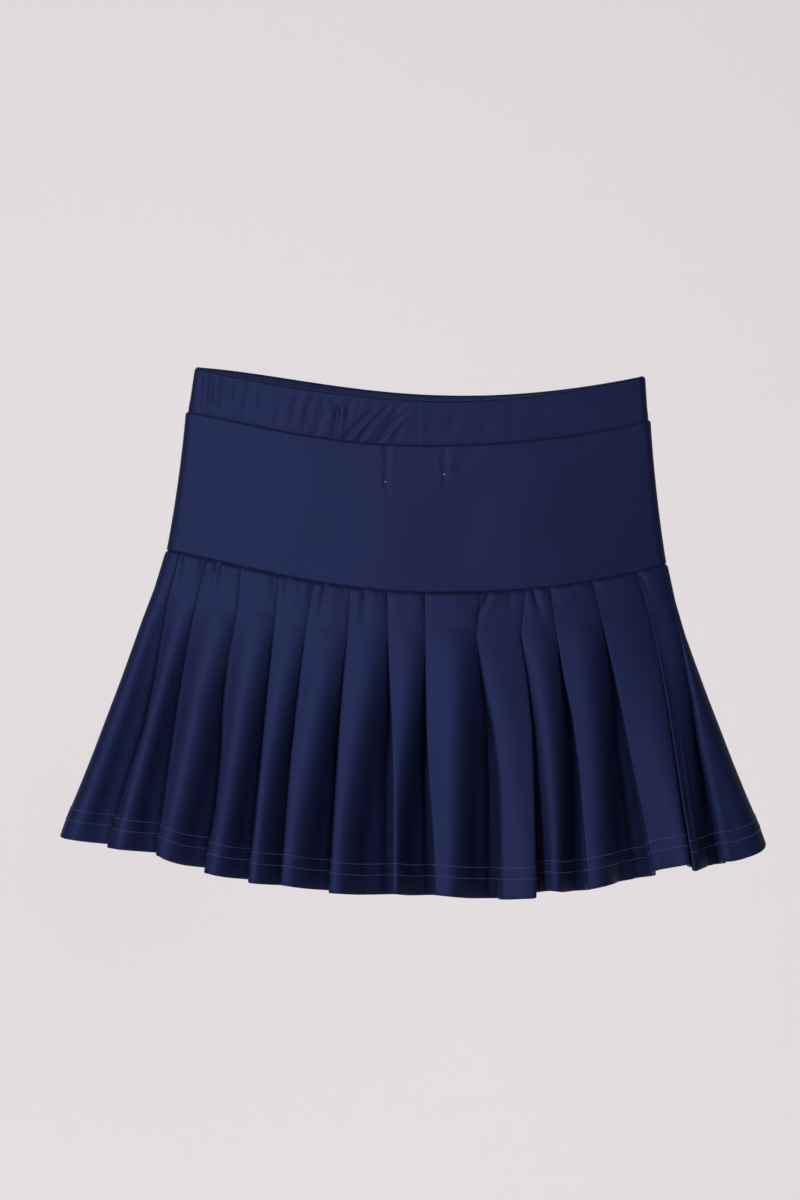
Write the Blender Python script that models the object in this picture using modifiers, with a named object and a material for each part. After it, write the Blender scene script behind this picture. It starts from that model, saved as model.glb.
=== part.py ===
"""Child's knife-pleated cheer skirt, in the shape it takes when it hangs by the two ends of its waistband.

Metres, +Z up. The origin is the middle of the waist opening. X runs across the skirt, -Y is its back
(the side with the label) and +Y its front. The lengths below are in millimetres.
"""

import math

import bmesh
import bpy
from mathutils import Vector

MM = 0.001

# ---- cloth ----
CLOTH = 1.0            # one layer of brushed knit, with its nap
GAP = 0.35             # air between two sewn layers

# ---- waistband: a strip folded over an elastic ----
BAND_HALF = 124.5      # half width of the hanging band, at the middle of its thickness
BAND_DEPTH = 13.0      # half of the opening from back to front
BAND_END = 3.2         # radius of the fold at each end
BAND_HEIGHT = 24.5
ELASTIC_THICK = 1.2
ELASTIC_HEIGHT = 19.5
BAND_MID = ELASTIC_THICK / 2 + GAP + CLOTH / 2   # from the elastic's middle to a casing layer's middle
JOIN_HALF = 0.8        # half of the slit where the strip's two ends meet, at the middle of the back

# ---- yoke: a smooth panel on each side ----
YOKE_HALF = 135.2
YOKE_DEPTH = 22.0
YOKE_END = 6.0

# ---- flounce: a pleated panel on each side ----
HEM_HALF = 190.8
HEM_DEPTH = 49.0
HEM_END = 12.0
PLEATS = 14
PLEAT_SPAN = 0.94      # the part of the width that is pleated, between the side seams
PLEAT_RISE = 7.0       # how far a fold stands out of the middle surface at the hem, and how far in
STITCHED_DOWN = 0.13   # the part of the flounce's length whose pleats are held flat under the seam
HEM_ROWS = (16.0, 10.0)  # height of the two hem stitch rows over the hem
FLOUNCE_LENGTH = 165.0

# ---- levels of the seams: at the middle of the width, at the sides, and the curve between ----
BAND_TOP = (1.0, 16.0, 1.5)
WAIST_SEAM = (1.0 - BAND_HEIGHT, 16.0 - BAND_HEIGHT, 1.5)
YOKE_SEAM = (-103.5, -86.5, 2.0)
HEM = (-264.0, -239.0, 3.0)
TILT = 0.17            # the front of the waist hangs a little higher than the back

# ---- joints: each flounce lifts about a line across the top of its panel ----
LIFT_Y = YOKE_DEPTH + CLOTH / 2 + 0.3
LIFT_Z = -84.0

# ---- small pieces ----
THREAD = 0.28          # radius of a sewing thread's row
OVERLOCK = 0.9         # radius of the overlocked edge inside a seam
LABEL_WIDTH = 33.0
LABEL_HEIGHT = 19.5
LABEL_THICK = 0.45
LABEL_STITCH = 31.0    # between the two stitch lines that hold the label

CAP = 0.2              # the part of each quarter of the outline that goes round the end fold


def outline(half, depth, end, turn):
    """Point of the skirt's outline seen from above: a lens with round ends. turn is 0 at +X, 1 at +Y, 2 at -X, 3 at -Y."""
    turn %= 4
    quarter = int(turn)
    part = turn - quarter
    if quarter in (1, 3):
        part = 1 - part
    flat_x, flat_y = half - end, depth - end
    first = math.pi / 2 - math.atan(2 * flat_y / flat_x)
    if part < CAP:
        angle = part / CAP * first
        x, y = flat_x, 0.0
    else:
        across = math.cos((part - CAP) / (1 - CAP) * math.pi / 2)
        x, y = flat_x * across, flat_y * (1 - across * across)
        angle = math.pi / 2 - math.atan(2 * flat_y * across / flat_x)
    x += end * math.cos(angle)
    y += end * math.sin(angle)
    return (-x if quarter in (1, 2) else x), (-y if quarter in (2, 3) else y)


def turn_at(across, back):
    """The turn on the back (or front) face at this part of the half width, -1 to 1."""
    part = CAP + (1 - CAP) * math.acos(min(1.0, abs(across))) / (math.pi / 2)
    if back:
        return 2 + part if across < 0 else 4 - part
    return 2 - part if across < 0 else part


def level(line, across):
    middle, side, power = line
    return middle + (side - middle) * min(1.0, abs(across)) ** power


def band_point(out, height, turn):
    """A point of the waistband: out from the elastic's middle, and height under the band's top edge."""
    x, y = outline(BAND_HALF + out, BAND_DEPTH + out, BAND_END + out, turn)
    return Vector((x, y, level(BAND_TOP, x / (BAND_HALF + out)) - height + TILT * y))


def yoke_point(out, down, turn):
    """A point of the yoke: out from its middle surface; down is 0 at the waist seam and 1 at the flounce seam."""
    half = BAND_HALF + BAND_MID + (YOKE_HALF - BAND_HALF - BAND_MID) * down
    depth = BAND_DEPTH + BAND_MID + (YOKE_DEPTH - BAND_DEPTH - BAND_MID) * down
    end = BAND_END + BAND_MID + (YOKE_END - BAND_END - BAND_MID) * down
    x, y = outline(half + out, depth + out, end + out, turn)
    across = x / (half + out)
    top = level(WAIST_SEAM, across) + TILT * y
    return Vector((x, y, top + (level(YOKE_SEAM, across) - top) * down))


def flounce_point(out, down, turn):
    """A point of the flounce's middle surface, moved out; down is 0 at the seam and 1 at the hem."""
    half = YOKE_HALF + (HEM_HALF - YOKE_HALF) * down
    depth = YOKE_DEPTH + (HEM_DEPTH - YOKE_DEPTH) * down
    end = YOKE_END + (HEM_END - YOKE_END) * down
    x, y = outline(half + out, depth + out, end + out, turn)
    across = x / (half + out)
    top = level(YOKE_SEAM, across)
    return Vector((x, y, top + (level(HEM, across) - top) * down))


# ---------------------------------------------------------------- scene

for old in list(bpy.data.objects):
    bpy.data.objects.remove(old, do_unlink=True)

skirt = bpy.data.collections.new("cheer_skirt")
bpy.context.scene.collection.children.link(skirt)


def material(name, colour, roughness):
    made = bpy.data.materials.new(name)
    made.use_nodes = True
    shader = made.node_tree.nodes["Principled BSDF"]
    shader.inputs["Base Color"].default_value = (*colour, 1.0)
    shader.inputs["Roughness"].default_value = roughness
    shader.inputs["Metallic"].default_value = 0.0
    return made


def pivot(name, place):
    empty = bpy.data.objects.new(name, None)
    empty.location = place
    empty.empty_display_size = 0.02
    skirt.objects.link(empty)
    return empty


back_pivot = pivot("back_flounce_pivot", (0, -LIFT_Y * MM, LIFT_Z * MM))
front_pivot = pivot("front_flounce_pivot", (0, LIFT_Y * MM, LIFT_Z * MM))


def finish(obj, colour, roughness, parent):
    """Give the object its material and collection, and hang it under its pivot."""
    skirt.objects.link(obj)
    obj.data.materials.append(material(obj.name, colour, roughness))
    if parent:
        obj.parent = parent
        obj.location = -parent.location
    return obj


def sheet(name, columns, rows, place, thickness, colour, roughness, parent=None, ring=False):
    """A cloth surface through place(column, row), given its thickness. A ring's last column meets its first."""
    form = bmesh.new()
    bmesh.ops.create_grid(form, x_segments=len(columns) - 1, y_segments=len(rows) - 1, size=0.5)
    form.verts.ensure_lookup_table()
    for vert in form.verts:
        i = round((vert.co.x + 0.5) * (len(columns) - 1))
        j = round((vert.co.y + 0.5) * (len(rows) - 1))
        vert.co = place(columns[i], rows[j]) * MM
    if ring:
        bmesh.ops.remove_doubles(form, verts=form.verts, dist=1e-6)
    mesh = bpy.data.meshes.new(name)
    form.to_mesh(mesh)
    form.free()
    obj = bpy.data.objects.new(name, mesh)
    thick = obj.modifiers.new("cloth", "SOLIDIFY")
    thick.thickness = thickness * MM
    thick.offset = 0.0
    thick.use_even_offset = True
    finish(obj, colour, roughness, parent)
    mesh.shade_smooth()
    mesh.set_sharp_from_angle(angle=math.radians(35))
    return obj


def cord(name, points, radius, colour, parent=None, ring=False, sides=0):
    """A sewn row or a bound edge: a thin round line through the points."""
    curve = bpy.data.curves.new(name, "CURVE")
    curve.dimensions = "3D"
    curve.bevel_depth = radius * MM
    curve.bevel_resolution = sides
    curve.use_fill_caps = not ring
    line = curve.splines.new("POLY")
    line.points.add(len(points) - 1)
    for point, place in zip(line.points, points):
        point.co = (*(place * MM), 1.0)
    line.use_cyclic_u = ring
    obj = bpy.data.objects.new(name, curve)
    return finish(obj, colour, 0.7, parent)


NAVY = (0.016, 0.021, 0.060)
NAVY_LIGHT = (0.030, 0.040, 0.110)
WHITE = (0.75, 0.75, 0.73)

# ---------------------------------------------------------------- waistband

CAPS = (0.0, 0.05, 0.10, 0.15)
STATIONS = (0.98, 0.80, 0.60, 0.40, 0.20)


def quarter_turns():
    """Turns of one quarter, from the end fold to just before the middle of the face."""
    return [*CAPS, CAP, *(turn_at(s, False) for s in STATIONS)]


def loop_turns():
    """Turns once round, from the middle of the back, through +X, the front and -X, to the middle of the back."""
    quarter = quarter_turns()
    turns = [3.0]
    turns += [4 - t for t in reversed(quarter)]      # back, right half
    turns += [4 + t for t in quarter[1:]] + [5.0]    # front, right half
    turns += [6 - t for t in reversed(quarter)]      # front, left half
    turns += [6 + t for t in quarter[1:]] + [7.0]    # back, left half
    return turns


join = JOIN_HALF / BAND_HALF / (math.pi / 2) * (1 - CAP)
strip = loop_turns()
strip[0] += join
strip[-1] -= join

fold = CLOTH / 2 + BAND_MID
profile = [(BAND_MID, BAND_HEIGHT - GAP)]
profile += [(BAND_MID * math.cos(a), fold - BAND_MID * math.sin(a)) for a in (0, math.pi / 4, math.pi / 2, 3 * math.pi / 4, math.pi)]
profile += [(-BAND_MID, BAND_HEIGHT - GAP)]

sheet("waistband_casing", strip, profile, lambda turn, side: band_point(side[0], side[1], turn), CLOTH, NAVY, 0.85)

elastic_top = fold + 0.9
sheet("waist_elastic", loop_turns(), (elastic_top, elastic_top + ELASTIC_HEIGHT), lambda turn, height: band_point(0.0, height, turn), ELASTIC_THICK, WHITE, 0.6, ring=True)

cord("waistband_join_seam", [band_point(BAND_MID, h, 3.0) for h in (2.5, 9.0, 16.0, BAND_HEIGHT - 1.0)], THREAD, NAVY_LIGHT, sides=1)

# ---------------------------------------------------------------- yoke

SIDE_GAP = 0.009       # turn left open on each side of a side seam


def panel_turns(back):
    quarter = quarter_turns()[1:]
    start, middle, stop = (2.0, 3.0, 4.0) if back else (0.0, 1.0, 2.0)
    return [start + SIDE_GAP, *(start + t for t in quarter), middle, *(stop - t for t in reversed(quarter)), stop - SIDE_GAP]


for side, back in (("back", True), ("front", False)):
    sheet(f"yoke_{side}", panel_turns(back), (0.005, 0.35, 0.7, 0.997), lambda turn, down: yoke_point(0.0, down, turn), CLOTH, NAVY, 0.85)

inside = CLOTH / 2 + GAP + OVERLOCK
cord("waist_seam_overlock", [yoke_point(-inside, 0.022, t) for t in loop_turns()[:-1]], OVERLOCK, NAVY, ring=True, sides=1)
cord("yoke_seam_overlock", [yoke_point(-inside, 0.968, t) for t in loop_turns()[:-1]], OVERLOCK, NAVY, ring=True, sides=1)
for side, turn in (("right", 0.0), ("left", 2.0)):
    cord(f"yoke_side_seam_{side}", [yoke_point(-inside, d, turn) for d in (0.06, 0.35, 0.65, 0.93)], OVERLOCK, NAVY, sides=1)

# ---------------------------------------------------------------- label, inside the back yoke

yoke_drop = -YOKE_SEAM[0] + WAIST_SEAM[0]
label_top = 3.4 / yoke_drop
label_low = label_top + LABEL_HEIGHT / yoke_drop
half_label = LABEL_WIDTH / 2 / BAND_HALF
sheet("size_label", [half_label * k for k in (-1, -0.5, 0, 0.5, 1)], (label_top, (label_top + label_low) / 2, label_low), lambda s, down: yoke_point(-(CLOTH / 2 + GAP + LABEL_THICK / 2), down, turn_at(s, True)), LABEL_THICK, WHITE, 0.5)

for side, sign, length in (("left", -1, 20.0), ("right", 1, 16.0)):
    s = sign * LABEL_STITCH / 2 / BAND_HALF
    out = CLOTH / 2 + GAP + THREAD
    row = [yoke_point(out, (1.2 + length * k / 4) / yoke_drop, turn_at(s, True)) for k in range(5)]
    tack = yoke_point(out, (1.2 + length + 0.4) / yoke_drop, turn_at(s + sign * 2.5 / BAND_HALF, True))
    cord(f"label_stitch_{side}", [*row, tack], THREAD, NAVY_LIGHT, sides=1)

# ---------------------------------------------------------------- flounce

ROWS = (0.002, STITCHED_DOWN, 0.35, 0.60, 0.82, 1.0)
FOLD_SHAPE = ((0.0, 1.0), (0.42, 0.25), (0.72, -1.0))   # fold edge, face, valley: place in the pleat, height


def rise(down):
    """How far the folds stand out at this length down the flounce."""
    open_part = max(0.0, (down - STITCHED_DOWN) / (1 - STITCHED_DOWN))
    return PLEAT_RISE * (0.06 + 0.94 * open_part ** 0.85) if down > STITCHED_DOWN else PLEAT_RISE * 0.06 * down / STITCHED_DOWN


def row_rise(down):
    """rise, straight between the rows of the sheet."""
    for low, high in zip(ROWS, ROWS[1:]):
        if down <= high:
            return rise(low) + (rise(high) - rise(low)) * (down - low) / (high - low)
    return rise(1.0)


def pleat_columns(back):
    """(turn, height) of each column of a pleated panel, seen from outside from left to right."""
    columns = [(SIDE_GAP, 0.0), (0.05, 0.0), (0.10, 0.0), (0.16, 0.0)]
    for pleat in range(PLEATS):
        for place, height in FOLD_SHAPE:
            s = -PLEAT_SPAN + 2 * PLEAT_SPAN * (pleat + place) / PLEATS
            fade = min(1.0, 3.2 * (1 - abs(s)) + 0.25)
            columns.append((turn_at(s, True) - 2, height * fade))
    columns.append((turn_at(PLEAT_SPAN, True) - 2, 0.2))
    columns += [(2 - 0.16, 0.0), (2 - 0.10, 0.0), (2 - 0.05, 0.0), (2 - SIDE_GAP, 0.0)]
    return [(turn + (2 if back else 0), height) for turn, height in columns]


def row_along_hem(over, back):
    """Points of a stitch row round the outside of the pleats, at a height over the hem."""
    down = 1 - over / FLOUNCE_LENGTH
    out = CLOTH / 2 + GAP + THREAD + 0.1
    base = [flounce_point(row_rise(down) * h, down, t) for t, h in pleat_columns(back)][1:-1]
    points = []
    for i in range(1, len(base) - 1):
        before = (base[i] - base[i - 1]).normalized()
        after = (base[i + 1] - base[i]).normalized()
        one = Vector((before.y, -before.x, 0)).normalized()
        two = Vector((after.y, -after.x, 0)).normalized()
        points.append(base[i] + (one + two) * (out / (1 + one.dot(two))))
    return points


for side, back, hinge in (("back", True, back_pivot), ("front", False, front_pivot)):
    sheet(f"flounce_{side}", pleat_columns(back), ROWS, lambda column, down: flounce_point(row_rise(down) * column[1], down, column[0]), CLOTH, NAVY_LIGHT, 0.85, parent=hinge)
    for name, over in zip(("upper", "lower"), HEM_ROWS):
        cord(f"hem_stitch_{name}_{side}", row_along_hem(over, back), THREAD, NAVY_LIGHT, parent=hinge)

for side, turn in (("left", 2.06), ("right", 3.94)):
    cord(f"flounce_side_seam_{side}", [flounce_point(-inside, d, turn) for d in (0.02, 0.3, 0.6, 0.98)], OVERLOCK, NAVY, parent=back_pivot, sides=1)
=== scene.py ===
import math

import bpy
import numpy as np
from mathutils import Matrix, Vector


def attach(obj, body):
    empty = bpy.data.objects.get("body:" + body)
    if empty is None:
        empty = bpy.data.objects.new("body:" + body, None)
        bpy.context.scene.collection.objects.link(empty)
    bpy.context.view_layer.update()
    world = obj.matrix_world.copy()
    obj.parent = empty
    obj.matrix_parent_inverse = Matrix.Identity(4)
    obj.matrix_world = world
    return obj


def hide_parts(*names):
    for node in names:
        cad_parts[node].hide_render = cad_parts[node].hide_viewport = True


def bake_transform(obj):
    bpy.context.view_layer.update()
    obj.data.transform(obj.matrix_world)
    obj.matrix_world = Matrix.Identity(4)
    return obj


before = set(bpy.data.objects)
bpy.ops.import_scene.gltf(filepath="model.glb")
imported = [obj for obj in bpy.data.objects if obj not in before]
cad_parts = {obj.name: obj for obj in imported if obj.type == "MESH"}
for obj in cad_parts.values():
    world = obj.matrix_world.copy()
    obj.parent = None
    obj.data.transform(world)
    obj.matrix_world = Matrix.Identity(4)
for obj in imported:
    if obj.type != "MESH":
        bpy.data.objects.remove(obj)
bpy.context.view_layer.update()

MM = 0.001
RNG = np.random.default_rng(7)

# --------------------------------------------------------------------------------------------
# The skirt's form, in millimetres. X across, -Y the back of the skirt, +Z up.
# --------------------------------------------------------------------------------------------


def ramp(t, a, b):
    """0 before a, 1 after b, smooth between."""
    s = np.clip((np.asarray(t, float) - a) / (b - a), 0, 1)
    return s * s * (3 - 2 * s)


def bell(x, centre, width):
    return np.exp(-0.5 * ((np.asarray(x, float) - centre) / width) ** 2)


def waves(x, seed, lengths, amount=1.0):
    """Smooth unevenness along x, a sum of sines of the given lengths, in -1..1 or so."""
    r = np.random.default_rng(seed)
    out = np.zeros(np.shape(x))
    for length in lengths:
        out = out + r.uniform(0.5, 1.0) * np.sin(2 * math.pi * (np.asarray(x, float) / length + r.uniform()))
    return amount * out / len(lengths)


def half_outline(half, depth, end):
    """The back half of the outline seen from above, from -X to +X: x, y, outward normal, length along it."""
    flat_x, flat_y = half - end, depth - end
    first = math.pi / 2 - math.atan(2 * flat_y / flat_x)
    t = np.linspace(0, first, 26)
    c = np.linspace(-1, 1, 321)
    angle = math.pi / 2 - np.arctan(2 * flat_y * np.abs(c) / flat_x)
    nx = np.concatenate([-np.cos(t), (np.sign(c) * np.cos(angle))[1:-1], np.cos(t)[::-1]])
    ny = np.concatenate([-np.sin(t), (-np.sin(angle))[1:-1], -np.sin(t)[::-1]])
    bx = np.concatenate([np.full(26, -flat_x), (flat_x * c)[1:-1], np.full(26, flat_x)])
    by = np.concatenate([np.zeros(26), (-flat_y * (1 - c * c))[1:-1], np.zeros(26)])
    x, y = bx + end * nx, by + end * ny
    along = np.concatenate([[0], np.cumsum(np.hypot(np.diff(x), np.diff(y)))])
    return x, y, nx, ny, along


class Level:
    """The outline at one height."""

    def __init__(self, half, depth, end, shift=0.0):
        self.x, self.y, self.nx, self.ny, self.along = half_outline(half, depth, end)
        self.shift = shift
        self.length = self.along[-1]

    def at_x(self, x):
        """Length along the outline to this x."""
        return np.interp(np.asarray(x, float) - self.shift, self.x, self.along)

    def point(self, along, out):
        """x, y of a point out from the outline."""
        x, y = np.interp(along, self.along, self.x), np.interp(along, self.along, self.y)
        nx, ny = np.interp(along, self.along, self.nx), np.interp(along, self.along, self.ny)
        n = np.hypot(nx, ny)
        return x + nx / n * out + self.shift, y + ny / n * out


def smooth_line(points, degree):
    x, z = np.array(points).T
    fit = np.polyfit(x / 130, z, degree)
    return lambda q: np.polyval(fit, np.clip(np.asarray(q, float), x.min() - 6, x.max() + 6) / 130)


# Heights of the edges and seams at places across, on the back and on the front.
TOP_BACK = smooth_line([(-121, 18.0), (-97, 11.6), (-65, 6.6), (-38, 2.6), (-20, 0.2), (2, -1.1), (14, -1.3), (36, -0.9), (62, 1.9), (80, 4.5), (100, 7.4), (124, 13.2)], 5)
TOP_FRONT = smooth_line([(-121, 18.2), (-97, 16.0), (-57, 10.6), (-21, 6.0), (2, 4.0), (14, 3.7), (36, 3.6), (55, 4.2), (81, 6.9), (102, 9.3), (124, 13.4)], 5)
WAIST_BACK = smooth_line([(-124, -7.2), (-83, -15.7), (-47, -22.4), (-22, -25.0), (2, -25.5), (31, -25.2), (60, -23.3), (82, -20.6), (105, -16.3), (126, -11.6)], 5)
YOKE_BACK = smooth_line([(-134, -82.8), (-104, -88.4), (-85, -93.5), (-67, -98.0), (-48, -101.0), (-28, -103.2), (-9, -103.6), (10, -104.6), (34, -105.6), (63, -103.8), (87, -99.9), (105, -96.4), (133, -90.6)], 5)


def waist_line(x, back):
    return WAIST_BACK(x) if back else WAIST_BACK(x) + 4.0 * (1 - np.clip(np.abs(x) / 126, 0, 1) ** 2)


def yoke_line(x, back):
    return YOKE_BACK(x) if back else YOKE_BACK(x) + 1.5 * (1 - np.clip(np.abs(x) / 134, 0, 1) ** 2)


def top_line(x, back):
    return TOP_BACK(x) if back else TOP_FRONT(x)


# --------------------------------------------------------------------------------------------
# Mesh making
# --------------------------------------------------------------------------------------------


def normals_of(grid, closed=False):
    """Unit normals of a grid of points (rows, columns, 3)."""
    if closed:
        du = np.roll(grid, -1, 1) - np.roll(grid, 1, 1)
    else:
        du = np.gradient(grid, axis=1)
    dv = np.gradient(grid, axis=0)
    n = np.cross(du, dv)
    size = np.linalg.norm(n, axis=2, keepdims=True)
    return n / np.maximum(size, 1e-9)


def cloth_mesh(name, grid, normal, thick, uv, closed=False, round_last=True, round_first=False):
    """A closed body: the grid's surface with its thickness, and rounded edges at the first or last row.
    grid and thick are in millimetres; uv is (rows, columns, 2) in millimetres of cloth."""
    thick = np.broadcast_to(np.asarray(thick, float), grid.shape[:2])[..., None]
    outer, inner = grid + normal * thick / 2, grid - normal * thick / 2
    rows = [outer[i] for i in range(len(grid))]
    uvs = [uv[i] for i in range(len(grid))]
    ring = []
    if round_last:
        on = grid[-1] - grid[-2]
        on = on / np.maximum(np.linalg.norm(on, axis=1, keepdims=True), 1e-9)
        for angle in (45, 90, 135):
            c, s = math.cos(math.radians(angle)), math.sin(math.radians(angle))
            rows.append(grid[-1] + (normal[-1] * c + on * s) * thick[-1] / 2)
            uvs.append(uv[-1] + np.array([0, 0.3 * s]))
    rows += [inner[i] for i in range(len(grid) - 1, -1, -1)]
    uvs += [uv[i] for i in range(len(grid) - 1, -1, -1)]
    if round_first:
        on = grid[0] - grid[1]
        on = on / np.maximum(np.linalg.norm(on, axis=1, keepdims=True), 1e-9)
        for angle in (135, 90, 45):
            c, s = math.cos(math.radians(angle)), math.sin(math.radians(angle))
            rows.append(grid[0] + (normal[0] * c + on * s) * thick[0] / 2)
            uvs.append(uv[0] - np.array([0, 0.3 * s]))
    points = np.array(rows)
    coords = np.array(uvs)
    m, n = points.shape[:2]
    index = np.arange(m * n).reshape(m, n)
    down = np.roll(index, -1, 0)
    if closed:
        right, down_right = np.roll(index, -1, 1), np.roll(down, -1, 1)
        quads = np.stack([index, down, down_right, right], -1).reshape(-1, 4)
    else:
        quads = np.stack([index[:, :-1], down[:, :-1], down[:, 1:], index[:, 1:]], -1).reshape(-1, 4)
        caps = []
        extra = (3 if round_first else 0)
        depth = len(grid)
        turn = 3 if round_last else 0
        for column, flip in ((0, False), (n - 1, True)):
            for i in range(depth - 1):
                a, b = index[i, column], index[i + 1, column]
                j = 2 * depth + turn - 1 - i
                c, d = index[j - 1, column], index[j, column]
                caps.append((a, d, c, b) if not flip else (a, b, c, d))
            if turn:
                k = [index[depth - 1 + t, column] for t in range(5)]
                caps.append(tuple(k) if flip else tuple(reversed(k)))
            if extra:
                k = [index[2 * depth + turn - 1 + t, column] for t in range(4)] + [index[0, column]]
                caps.append(tuple(k) if flip else tuple(reversed(k)))
    mesh = bpy.data.meshes.new(name)
    faces = [tuple(q) for q in quads.tolist()]
    if not closed:
        faces += [tuple(int(v) for v in c) for c in caps]
    mesh.from_pydata((points.reshape(-1, 3) * MM).tolist(), [], faces)
    mesh.update()
    layer = mesh.uv_layers.new(name="cloth")
    corner = np.zeros(len(mesh.loops), np.int32)
    mesh.loops.foreach_get("vertex_index", corner)
    flat = coords.reshape(-1, 2)[corner]
    layer.data.foreach_set("uv", flat.astype(np.float32).reshape(-1))
    volume = signed_volume(mesh)
    if volume < 0:
        mesh.flip_normals()
    mesh.shade_smooth()
    mesh.set_sharp_from_angle(angle=math.radians(62))
    obj = bpy.data.objects.new(name, mesh)
    bpy.context.scene.collection.objects.link(obj)
    return obj


def signed_volume(mesh):
    mesh.calc_loop_triangles()
    co = np.zeros(len(mesh.vertices) * 3)
    mesh.vertices.foreach_get("co", co)
    tri = np.zeros(len(mesh.loop_triangles) * 3, np.int32)
    mesh.loop_triangles.foreach_get("vertices", tri)
    p = co.reshape(-1, 3)[tri.reshape(-1, 3)]
    return float(np.einsum("ij,ij->i", p[:, 0], np.cross(p[:, 1], p[:, 2])).sum() / 6)


def cloth_uv(grid, closed=False):
    """Cloth coordinates in millimetres: along the middle row, and down each column."""
    mid = grid[len(grid) // 2]
    across = np.concatenate([[0], np.cumsum(np.linalg.norm(np.diff(mid, axis=0), axis=1))])
    down = np.linalg.norm(np.diff(grid, axis=0), axis=2).mean(1)
    down = np.concatenate([[0], np.cumsum(down)])
    return np.stack(np.broadcast_arrays(across[None, :], down[:, None]), -1)


# --------------------------------------------------------------------------------------------
# Materials
# --------------------------------------------------------------------------------------------


def new_material(name, colour, roughness, **inputs):
    m = bpy.data.materials.new(name)
    m.use_nodes = True
    shader = m.node_tree.nodes["Principled BSDF"]
    shader.inputs["Base Color"].default_value = (*colour, 1)
    shader.inputs["Roughness"].default_value = roughness
    for key, value in inputs.items():
        shader.inputs[key.replace("_", " ")].default_value = value
    return m, m.node_tree, shader


def knit_material():
    """Fine smooth knit: narrow upright wales, small loops, painted shade between the loops with painted light on them,
    and slow unevenness of colour.
    """
    m, tree, shader = new_material(
        "navy_knit_cloth", (0.0036, 0.0048, 0.0200), 0.62,
        Specular_IOR_Level=0.48, Specular_Tint=(0.24, 0.34, 1.0, 1), Sheen_Weight=0.02, Sheen_Roughness=0.5, Sheen_Tint=(0.3, 0.4, 0.9, 1),
    )
    nodes, links = tree.nodes, tree.links
    uv = nodes.new("ShaderNodeUVMap")
    uv.uv_map = "cloth"
    # wales: one every 0.55 mm across
    wales = nodes.new("ShaderNodeTexWave")
    wales.wave_type, wales.bands_direction, wales.wave_profile = "BANDS", "X", "SIN"
    wales.inputs["Scale"].default_value = 0.57
    wales.inputs["Distortion"].default_value = 0.25
    wales.inputs["Detail"].default_value = 1.0
    links.new(uv.outputs["UV"], wales.inputs["Vector"])
    # courses: one every 0.42 mm down
    courses = nodes.new("ShaderNodeTexWave")
    courses.wave_type, courses.bands_direction, courses.wave_profile = "BANDS", "Y", "SIN"
    courses.inputs["Scale"].default_value = 0.75
    courses.inputs["Distortion"].default_value = 0.3
    courses.inputs["Detail"].default_value = 1.0
    links.new(uv.outputs["UV"], courses.inputs["Vector"])
    loops = nodes.new("ShaderNodeMath")
    loops.operation = "MULTIPLY"
    links.new(wales.outputs["Fac"], loops.inputs[0])
    links.new(courses.outputs["Fac"], loops.inputs[1])
    # fibre-scale fuzz and slow mottling
    fuzz = nodes.new("ShaderNodeTexNoise")
    fuzz.inputs["Scale"].default_value = 2.2
    fuzz.inputs["Detail"].default_value = 3.0
    links.new(uv.outputs["UV"], fuzz.inputs["Vector"])
    slow = nodes.new("ShaderNodeTexNoise")
    slow.inputs["Scale"].default_value = 0.035
    slow.inputs["Detail"].default_value = 2.0
    links.new(uv.outputs["UV"], slow.inputs["Vector"])
    height = nodes.new("ShaderNodeMath")
    height.operation = "MULTIPLY_ADD"
    height.inputs[1].default_value = 0.5
    links.new(fuzz.outputs["Fac"], height.inputs[0])
    links.new(loops.outputs["Value"], height.inputs[2])
    bump = nodes.new("ShaderNodeBump")
    bump.inputs["Strength"].default_value = 0.35
    bump.inputs["Distance"].default_value = 0.00012
    links.new(height.outputs["Value"], bump.inputs["Height"])
    links.new(bump.outputs["Normal"], shader.inputs["Normal"])
    # colour: painted shade between the loops and painted light on them, following the same loop pattern as the bump,
    # with slow random mottling of tone
    loop_shade_ramp = nodes.new("ShaderNodeValToRGB")
    loop_shade_ramp.color_ramp.elements[0].position = 0.05
    loop_shade_ramp.color_ramp.elements[0].color = (0.0028, 0.0038, 0.0160, 1)
    loop_shade_ramp.color_ramp.elements[1].position = 0.95
    loop_shade_ramp.color_ramp.elements[1].color = (0.0048, 0.0062, 0.0260, 1)
    both = nodes.new("ShaderNodeMath")
    both.operation = "MULTIPLY_ADD"
    both.inputs[1].default_value = 0.45
    shift = nodes.new("ShaderNodeMath")
    shift.operation = "MULTIPLY_ADD"
    shift.inputs[1].default_value = 0.9
    shift.inputs[2].default_value = -0.15
    links.new(slow.outputs["Fac"], shift.inputs[0])
    links.new(loops.outputs["Value"], both.inputs[0])
    links.new(shift.outputs["Value"], both.inputs[2])
    links.new(both.outputs["Value"], loop_shade_ramp.inputs["Fac"])
    links.new(loop_shade_ramp.outputs["Color"], shader.inputs["Base Color"])
    return m


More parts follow.
